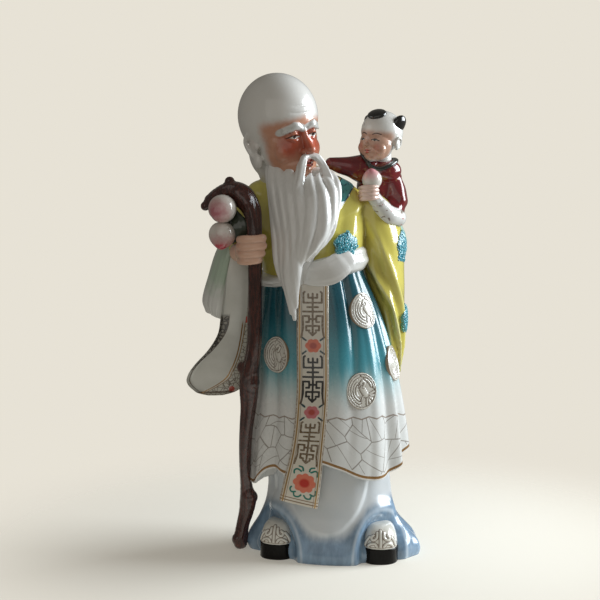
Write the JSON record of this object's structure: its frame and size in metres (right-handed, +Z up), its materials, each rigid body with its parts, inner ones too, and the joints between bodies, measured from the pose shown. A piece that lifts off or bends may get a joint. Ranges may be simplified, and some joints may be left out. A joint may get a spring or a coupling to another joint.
{
  "type": "standing figurine",
  "caption": "Slip-cast glazed porcelain figure of a robed, bearded old man holding a gnarled staff with peaches, a boy on his shoulder, on a draped base with a flat underside.",
  "frame": {"origin": "under the middle of the base, on the plane that the figure stands on", "axes": "+Z up through the crown of the head; -Y is the side seen in the picture, with the body turned a little to its own right; +X towards the boy's shoulder, -X towards the staff"},
  "size_m": [0.1946, 0.119, 0.3999],
  "materials": {
    "glazed_porcelain": "white porcelain under a clear glossy glaze, painted over the glaze in colours"
  },
  "bodies": {
    "root": {"porcelain_old_man": "glazed_porcelain"}
  },
  "joints": []
}
